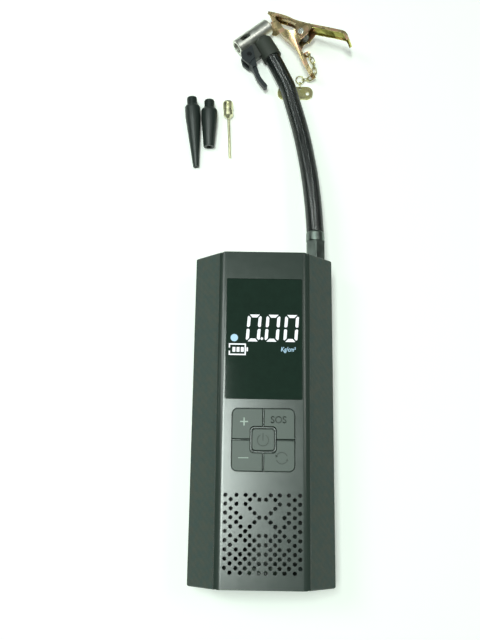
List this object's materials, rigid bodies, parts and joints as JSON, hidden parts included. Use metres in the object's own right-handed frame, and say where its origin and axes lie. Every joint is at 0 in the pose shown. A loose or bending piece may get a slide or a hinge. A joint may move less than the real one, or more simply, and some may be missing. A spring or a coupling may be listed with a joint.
{
  "type": "portable tire inflator",
  "caption": "Cordless handheld tire inflator with display, keypad, braided hose, lever chuck, spring clip and spare nozzles, lying on its back.",
  "frame": {"origin": "middle of the housing's flat back face, which lies on the surface", "axes": "+Z out of the front panel, upwards as it lies; +Y along the housing towards the hose; +X across it to the side where the hose leaves"},
  "size_m": [0.1265, 0.4219, 0.0503],
  "materials": {
    "shell": "satin",
    "panel": "gloss",
    "lens": "gloss",
    "dark": "matte",
    "board": "satin",
    "screw": "satin",
    "keys": "satin",
    "clear": "gloss",
    "white": "satin",
    "cells": "gloss",
    "nickel": "polished",
    "steel": "satin",
    "brass": "satin",
    "cast": "cast",
    "rubber": "matte",
    "black_metal": "satin",
    "braid": "woven",
    "zinc": "cast",
    "lever": "satin",
    "gold": "satin",
    "nozzle": "satin"
  },
  "bodies": {
    "inflator": {"back_shell": "shell", "front_shell": "shell", "front_panel": "panel", "display_lens": "lens", "display_module": "dark", "main_board": "board", "tact_switches": "screw", "board_screws": "screw", "housing_screws": "screw", "lamp_lens": "clear", "lamp_module": "white", "charge_socket": "screw", "charge_board": "board", "battery_cells": "cells", "battery_cradle": "dark", "cell_tabs": "nickel", "motor_can": "steel", "motor_screws": "screw", "pump_frame": "cast", "frame_screws": "screw", "crank_bush": "brass", "cylinder_head": "cast", "head_gasket": "rubber", "head_screws": "screw", "air_tube": "white", "hose_union": "black_metal", "hose_ferrule": "black_metal", "hose": "braid", "chuck_elbow": "rubber", "chuck_barrel": "nickel", "chuck_gasket": "rubber", "lever_bracket": "zinc", "lever_pin": "nickel", "clip_lower_jaw": "gold", "clip_rivet": "nickel", "clip_spring": "steel", "clip_chain": "gold", "chain_tag": "gold"},
    "plus_key": {"key_plus": "keys"},
    "sos_key": {"key_sos": "keys"},
    "minus_key": {"key_minus": "keys"},
    "mode_key": {"key_mode": "keys"},
    "power_key": {"key_power": "keys"},
    "rotor": {"rotor_shaft": "steel", "pinion": "brass", "cooling_fan": "dark"},
    "crank": {"drive_gear": "white", "crank_shaft": "steel", "crank_pin": "steel"},
    "piston": {"connecting_rod": "white", "piston_cup": "rubber"},
    "lever": {"chuck_lever": "lever"},
    "clip_upper": {"clip_upper_jaw": "gold"},
    "long_nozzle_piece": {"long_nozzle": "nozzle"},
    "short_nozzle_piece": {"short_nozzle": "nozzle"},
    "needle_piece": {"ball_needle": "nickel"}
  },
  "joints": [
    {"name": "plus_press", "type": "slide", "parent": "inflator", "child": "plus_key", "axis": [0, 0, -1], "range_m": [0, 0.0006], "stiffness_N_per_m": 700, "springref_m": -0.001},
    {"name": "sos_press", "type": "slide", "parent": "inflator", "child": "sos_key", "axis": [0, 0, -1], "range_m": [0, 0.0006], "stiffness_N_per_m": 700, "springref_m": -0.001},
    {"name": "minus_press", "type": "slide", "parent": "inflator", "child": "minus_key", "axis": [0, 0, -1], "range_m": [0, 0.0006], "stiffness_N_per_m": 700, "springref_m": -0.001},
    {"name": "mode_press", "type": "slide", "parent": "inflator", "child": "mode_key", "axis": [0, 0, -1], "range_m": [0, 0.0006], "stiffness_N_per_m": 700, "springref_m": -0.001},
    {"name": "power_press", "type": "slide", "parent": "inflator", "child": "power_key", "axis": [0, 0, -1], "range_m": [0, 0.0006], "stiffness_N_per_m": 700, "springref_m": -0.001},
    {"name": "crank_spin", "type": "hinge", "parent": "inflator", "child": "crank", "pos_m": [-0.0012, -0.045, 0.025], "axis": [0, 1, 0], "continuous": true},
    {"name": "rotor_spin", "type": "hinge", "parent": "inflator", "child": "rotor", "pos_m": [-0.022, -0.045, 0.025], "axis": [0, 1, 0], "continuous": true},
    {"name": "piston_stroke", "type": "slide", "parent": "inflator", "child": "piston", "axis": [1, 0, 0], "range_m": [-0.01, 0]},
    {"name": "lever_turn", "type": "hinge", "parent": "inflator", "child": "lever", "pos_m": [-0.01209, 0.27763, 0.0075], "axis": [0, 0, 1], "range_deg": [-80, 0]},
    {"name": "clip_open", "type": "hinge", "parent": "inflator", "child": "clip_upper", "pos_m": [0.0291, 0.2943, 0.013], "axis": [-0.3077, -0.1494, 0.9397], "range_deg": [-25, 0], "stiffness_Nm_per_rad": 0.05, "springref_deg": 20.05},
    {"name": "long_nozzle_lift", "type": "slide", "parent": "inflator", "child": "long_nozzle_piece", "axis": [0, 0, 1], "range_m": [0, 0.06]},
    {"name": "short_nozzle_lift", "type": "slide", "parent": "inflator", "child": "short_nozzle_piece", "axis": [0, 0, 1], "range_m": [0, 0.06]},
    {"name": "needle_lift", "type": "slide", "parent": "inflator", "child": "needle_piece", "axis": [0, 0, 1], "range_m": [0, 0.06]}
  ],
  "couplings": [
    {"joint": "rotor_spin", "follows": "crank_spin", "ratio": -3.3333}
  ]
}
